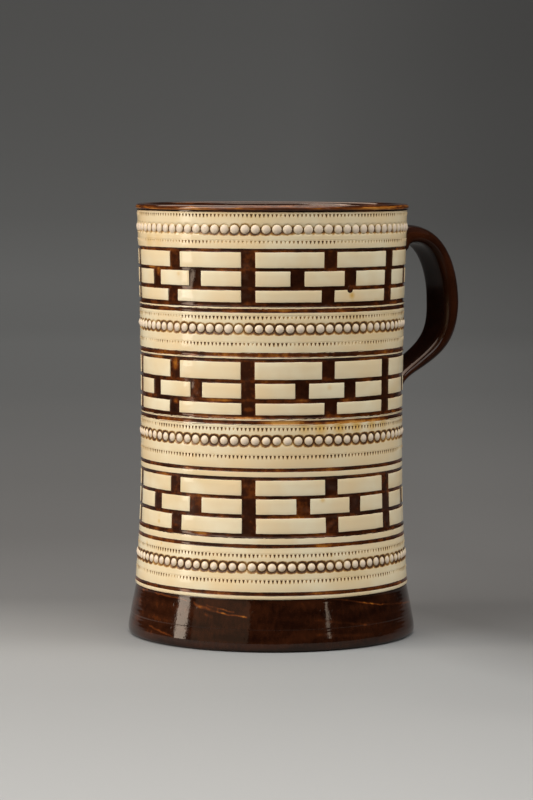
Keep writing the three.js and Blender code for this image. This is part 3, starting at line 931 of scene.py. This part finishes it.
# The lip and the inside: one coat of brown slip, poured in, swilled round and run over the rim. It
# is darker in the fine groove under the lip, and thins to red and orange where the rim is rounded. The
# inside is painted darker, as painted shade within the mouth.
hem_profile = [(51.5, 0.03), (51.9, 0.04), (52.0, 0.1), (52.02, 0.25), (52.02, 0.42), (52.03, 0.58),
               (52.16, 0.68), (52.32, 0.82), (52.4, 1.1), (52.38, 1.4), (52.28, 1.7), (52.08, 2.02),
               (51.75, 2.28), (51.3, 2.45)]  # radius, and height over the shoulder
rim_profile = [(50.7, 0.03), (50.1, 0), (49.5, 0.06), (49.0, 0.25), (48.62, 0.6), (48.38, 1.1)]
mouth_radius, mouth_level = 48.28, top - 1.7
lining_radius, lining_bottom = 45.23, 15.0
floor_corner, floor_level = 7.4, 7.22
wall_steps, corner_steps, floor_steps = 180, 10, 44
lip_facets = 240
lip_outline = [(radius, shoulder + up) for radius, up in hem_profile]
lip_outline += [(radius, top - down) for radius, down in rim_profile]
for step in range(wall_steps):
    share = step / wall_steps
    level = mouth_level - (mouth_level - lining_bottom) * share
    drawn_in = (mouth_radius - lining_radius) * (mouth_level - level) / (top - 0.8 - waist_height)
    throwing = 0.13 * sin(level * 1.05 + 0.6 * sin(level * 0.21)) * min(1, share * 8)
    lip_outline.append((max(lining_radius, mouth_radius - drawn_in) + throwing, level))
for step in range(corner_steps + 1):
    angle = full_turn / 4 * step / corner_steps
    radius = lining_radius - floor_corner * (1 - cos(angle))
    lip_outline.append((radius, floor_level + floor_corner * (1 - sin(angle))))
for step in range(1, floor_steps):
    radius = (lining_radius - floor_corner) * (1 - step / floor_steps)
    ring = 0.1 * (1 - cos(radius * 1.5)) * exp(-radius / 30)
    lip_outline.append((radius, floor_level + ring))
# back under the coat
lip_outline += [(0, floor_level), (0, 6.65), (38.5, 6.75), (43.2, 8.9), (45.7, 13), (45.85, waist_height),
                (48.9, 163.2), (49.6, 164.05), (50.9, 164.05), (51.35, 163.4), lip_outline[0]]

# where the coat on the lip is thinner, or below 0 darker: from one height to the other
lip_changes = [
    (shoulder + 0.62, shoulder + 0.8, 0.1),  # ridge
    (shoulder + 0.72, shoulder + 0.56, -0.6),  # groove
    (shoulder + 0.32, shoulder + 0.12, 0.45),  # hem
    (top - 0.9, top - 0.2, -0.18),  # rim
]
lip_slip, tree, shader = new_glaze("lip_slip", tint=(1, 0.84, 0.7))
here = place_on_pot(tree)
up = add_node(tree, "SeparateXYZ", {0: here})["Z"]
out = measure("LENGTH", measure("MULTIPLY", here, (1, 1, 0), "Vector"), (0, 0, 0))
sweep = between(cloud(place_on_pot(tree, (1, 1, 16)), 48, 3, 0.6), 0.4, 0.72, 0.36, 0.84)
fine_sweep = between(cloud(place_on_pot(tree, (1, 1, 9)), 260), 0.3, 0.75, -0.1, 0.12)
changes = [between(up, low * mm, high * mm, 0, change) for low, high, change in lip_changes]
# painted shade: the inside of the mouth is painted darker
inside_painted_shade = between(out, 0.0503, 0.0492, 0, -0.3)
coat_in_slip(shader, add_up(sweep, fine_sweep, *changes, inside_painted_shade), 0.09, 0.8, 0.00005)
finish_piece(turn(lip_outline, lip_facets), "lip_and_lining", lip_slip, "brown_slip", "lip_and_lining_slip")


# The handle: a strap pulled from a lump of wet clay, pressed on under the rim and again at the
# middle band, with a flat palm side and a rounded back. It is modelled straight, then bent.
upper_joint = top - 13.4
lower_joint = upper_joint - 56.5
belly_point = Vector((waist_radius + 25.4, upper_joint - 26))
upper_pull, upper_rise, upper_sweep = 18.1, 20.5, 15.2
lower_pull, lower_rise, lower_sweep = 19.6, 33.3, 17.8
handle_width = 19
upper_thickness, belly_thickness, lower_thickness = 6.5, 8.0, 3.1
joint_spread, spread_length = 0.4, 9
joint_swell, swell_length = 0.35, 3.2
root_depth = 2.6
# right half of the strap's section: across, and out from the palm side
half_section = [(0.3, 0.02), (0.62, 0), (0.84, 0.03), (0.96, 0.14), (1, 0.3), (0.99, 0.46), (0.93, 0.62),
                (0.8, 0.78), (0.6, 0.9), (0.34, 0.98), (0.1, 1)]
section = half_section + [(-across, out) for across, out in reversed(half_section)]
stations = 96
curve_steps = 200


def heading_off(wall, height, pull, rise):
    angle = radians(rise)
    return Vector((wall + pull * cos(angle), height + pull * sin(angle)))


def bezier(corners, share):
    while len(corners) > 1:
        corners = [one.lerp(two, share) for one, two in zip(corners, corners[1:])]
    return corners[0]


upper_start = Vector((wall_radius(upper_joint), upper_joint))
lower_end = Vector((wall_radius(lower_joint), lower_joint))
upper_curve = [upper_start, heading_off(*upper_start, upper_pull, upper_rise),
               belly_point + Vector((0, upper_sweep)), belly_point]
lower_curve = [belly_point, belly_point - Vector((0, lower_sweep)),
               heading_off(*lower_end, lower_pull, lower_rise), lower_end]
route = [bezier(curve, step / curve_steps) for curve in (upper_curve, lower_curve)
         for step in range(curve_steps)]
route.append(lower_end)
route.insert(0, upper_start - (route[1] - upper_start).normalized() * root_depth)
route.append(lower_end + (lower_end - route[-2]).normalized() * root_depth)
travelled = [0.0]
for one, two in zip(route, route[1:]):
    travelled.append(travelled[-1] + (two - one).length)
strap_length = travelled[-1]
belly_at = travelled[curve_steps + 1]


def on_route(distance):
    """The point of the route at a distance along it, and its heading."""
    distance = min(max(distance, 0), strap_length)
    stop = next(number for number, far in enumerate(travelled[1:], 1) if far >= distance - 1e-9)
    share = (distance - travelled[stop - 1]) / (travelled[stop] - travelled[stop - 1])
    before, after = route[max(stop - 6, 0)], route[min(stop + 5, len(route) - 1)]
    return route[stop - 1].lerp(route[stop], share), (after - before).normalized()


def near_joint(distance, length):
    """1 at a joint, and falls to 0 so far from it."""
    return max(0, 1 - distance / length) ** 2


strap = new_piece(bpy.ops.mesh.primitive_circle_add, vertices=len(section), radius=1, fill_type="NGON",
                  rotation=(0, full_turn / 4, 0))
bpy.ops.object.transform_apply()
for corner, (across, out) in zip(strap.data.vertices, section):
    corner.co = (0, across, out - 0.5)
with editing(strap):
    for station in range(stations):
        reached = station * strap_length / stations
        select_where(strap, lambda place: place.x > reached - near)
        step = (strap_length / stations, 0, 0)
        bpy.ops.mesh.extrude_region_move(TRANSFORM_OT_translate={"value": step})
    bpy.ops.mesh.select_all(action="SELECT")
    bpy.ops.mesh.normals_make_consistent(inside=False)
layers = strap.data.attributes
layers.new("thin_edge", "FLOAT", "POINT")
layers.new("along_strap", "FLOAT_VECTOR", "POINT")
for corner, thin_edge, along_strap in zip(
    strap.data.vertices, layers["thin_edge"].data, layers["along_strap"].data
):
    along, across, out = corner.co
    side = across * handle_width / 2
    past_joint = max(0, min(along, strap_length - along) - root_depth)
    spread = 1 + joint_spread * near_joint(past_joint, spread_length)
    swell = spread + joint_swell * near_joint(past_joint, swell_length)
    thickness = upper_thickness + (belly_thickness - upper_thickness) * min(1, along / belly_at)
    past_belly = max(0, along - belly_at) / (strap_length - belly_at)
    thickness += (lower_thickness - belly_thickness) * past_belly
    middle, heading = on_route(along)
    thin_edge.value = abs(across) ** 3 * (1 - 0.6 * max(0, out))
    along_strap.vector = (along * mm, side * mm, out * mm)
    wobble = drift(along / 9, across * 1.5, out * 2) * 0.16
    lift = out * thickness * swell + wobble * 0.5
    side = side * spread + wobble * (abs(across) > 0.5)
    corner.co = (middle.x - heading.y * lift, side, middle.y + heading.x * lift)
apply_modifier(strap, "SUBSURF", levels=1, render_levels=1)

handle_slip, tree, shader = new_glaze("handle_slip", shine=0.12, tint=(1, 0.8, 0.65))
strap_place = read_layer(tree, "along_strap", "Vector")
streaks = add_node(tree, "Mapping", {"Vector": strap_place, "Scale": (1, 9, 3)})[0]
pulled = between(cloud(streaks, 70, 3, 0.6), 0.35, 0.75, -0.04, 0.11)
patches = between(cloud(place_on_pot(tree), 70), 0.3, 0.7, 0.12, 0.35)
edges = calculate("MULTIPLY", read_layer(tree, "thin_edge"), patches)
coat_in_slip(shader, add_up(pulled, edges), 0.08, 0.8, 0.00005)
# the palm side hangs in its own shade, where the glaze is thin and hardly shines, and so does the
# upper root; low down the strap only the edge of the palm catches the light
along, _, out = add_node(tree, "SeparateXYZ", {0: strap_place})
past_root = between(along, 0.004, 0.018)
shine_above = calculate("MULTIPLY", between(out, -0.0003, -0.0001), past_root)
palm_edge = between(out, -0.00047, -0.0004)
palm_edge = calculate("MULTIPLY", palm_edge, between(out, -0.0002, -0.0003, 0.12, 1))
palm_edge = calculate("MULTIPLY", palm_edge, between(along, 0.056, 0.066, 1, 0.4))
low_down = between(along, 0.041, 0.049)
coat = add_node(tree, "Mix", {0: low_down, 2: shine_above, 3: palm_edge})[0]
link(coat, shader["Coat Weight"])
shader["Coat Roughness"].default_value = 0.06
finish_piece(strap, "strap_handle", handle_slip, "handle_slip", "handle", smooth=60)


# The studio: pale paper that sweeps up to a grey backdrop all round, in a dim room. Its greys are
# painted light: the lamps' falloff from the front to the back, painted shade where it turns near black
# to the sides, and the pot's painted shadow on the right. A tall strip box, a broad box and a dim board
# light the pot from the left, a thin strip and a broad box from the right, one box from above, and one
# from behind, which only shows in the glaze.
camera_turn = radians(26)  # how far the handle is turned away
paper_facets = 96
sweep_profile = [(0, 0), (0.6, 0), (1.2, 0), (1.7, 0.02), (2.0, 0.12), (2.25, 0.32), (2.42, 0.62),
                 (2.5, 1.0), (2.52, 2.2)]  # in metres
# how light the paper is painted, from in front of the pot to far behind it where it sweeps up: painted
# light, as the lamps fall off
paper_painted_light = [(0.0, 0.012), (0.07, 0.015), (0.12, 0.325), (0.19, 0.262), (0.218, 0.252), (0.243, 0.188),
         (0.261, 0.116), (0.281, 0.103), (0.33, 0.089), (0.42, 0.111), (0.55, 0.167), (0.757, 0.29),
         (0.833, 0.297), (0.88, 0.258), (0.92, 0.222), (0.943, 0.208), (1.0, 0.191)]
forward = Vector((sin(camera_turn), cos(camera_turn), 0))
right = Vector((cos(camera_turn), -sin(camera_turn), 0))
paper = turn(sweep_profile, paper_facets)
paper.name = "paper_sweep"
paper.data.flip_normals()
bpy.ops.object.shade_smooth_by_angle(angle=radians(40))
paper_finish = bpy.data.materials.new("paper")
paper_finish.use_nodes = True
tree = paper_finish.node_tree
shader = tree.nodes["Principled BSDF"].inputs
shader["Roughness"].default_value = 0.75
here = place_on_pot(tree)
behind = measure("DOT_PRODUCT", here, forward)
across = measure("DOT_PRODUCT", here, right)
share = add_node(tree, "MapRange", {0: behind, 1: -0.7, 2: 2.3})[0]
# painted shadow: right of the pot the paper's tones shift further on, and darker, for the pot's cast shadow
painted_shadow_shift = calculate("MULTIPLY", between(across, 0.03, 0.11, 0, 0.032),
                  between(share, 0.165, 0.186))
painted_light_greys = [(place, (tone, tone, 0.97 * tone)) for place, tone in paper_painted_light]
paper_with_painted_light = ramp(add_up(share, painted_shadow_shift), painted_light_greys)
# painted shade: the paper turns near black to the sides, for the dim room round it, and up to 0.28 darker
# right of the pot, for its painted shadow
painted_dark_sides = between(calculate("ABSOLUTE", across, 0), 0.42, 0.75, 0, 0.92)
painted_shade_and_shadow = calculate("MAXIMUM", painted_dark_sides, between(across, 0.02, 0.3, 0, 0.28))
link(blend(painted_shade_and_shadow, paper_with_painted_light, (0, 0, 0)), shader["Base Color"])
paper.data.materials.append(paper_finish)
paper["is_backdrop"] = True

room = bpy.data.worlds.new("room")
room.use_nodes = True
room.node_tree.nodes["Background"].inputs["Color"].default_value = (0.035, 0.035, 0.036, 1)
bpy.context.scene.world = room

lit_point = Vector((0, 0, 0.08))


def soft_light(name, bearing, rise, distance, size, radiance, tint=(1, 1, 1)):
    """A soft box at a bearing from the camera's side, in degrees to the right, with its height."""
    turned = radians(bearing)
    level = distance * cos(radians(rise))
    place = level * (right * sin(turned) - forward * cos(turned))
    place += lit_point + Vector((0, 0, distance * sin(radians(rise))))
    box = new_piece(bpy.ops.object.light_add, type="AREA", location=place)
    box.name = name
    box.rotation_euler = (lit_point - place).to_track_quat("-Z", "Y").to_euler()
    box.data.shape = "RECTANGLE"
    box.data.size, box.data.size_y = size
    box.data.energy = radiance * pi * size[0] * size[1]
    box.data.color = tint
    box.visible_camera = False
    return box


soft_light("strip_box", -76.8, 14, 1.2, (0.24, 1.1), 7.0, (1, 0.89, 0.78))
soft_light("key_box", -60, 38, 1.5, (1.0, 0.9), 4.9)
soft_light("side_board", -42, 12, 1.4, (1.25, 0.8), 0.45, (1, 0.8, 0.6))
soft_light("edge_strip", 47, 19, 1.3, (0.045, 0.6), 3.6, (1, 0.88, 0.75))
soft_light("top_box", 0, 74, 1.2, (1.5, 1.5), 2.5)
fill_box = soft_light("fill_box", 80, 36, 1.6, (0.9, 0.9), 4.6)
fill_box.visible_glossy = False
rim_box = soft_light("rim_box", -160, 52, 1.2, (1.2, 0.6), 2.8, (1, 0.8, 0.66))
rim_box.visible_diffuse = False

eye = -0.002 * right - 1.166 * forward + Vector((0, 0, 0.18264))
looks_down, leans = radians(4.573), radians(0.12)
camera = new_piece(bpy.ops.object.camera_add, location=eye,
                   rotation=(full_turn / 4 - looks_down, 0, -camera_turn))
camera.rotation_euler = (camera.rotation_euler.to_matrix() @ Matrix.Rotation(leans, 3, "Z")).to_euler()
camera.data.lens = 136.7
camera.data.sensor_width = 36
camera.data.dof.use_dof = False
bpy.context.scene.camera = camera
bpy.context.scene.view_settings.view_transform = "Standard"

low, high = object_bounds()
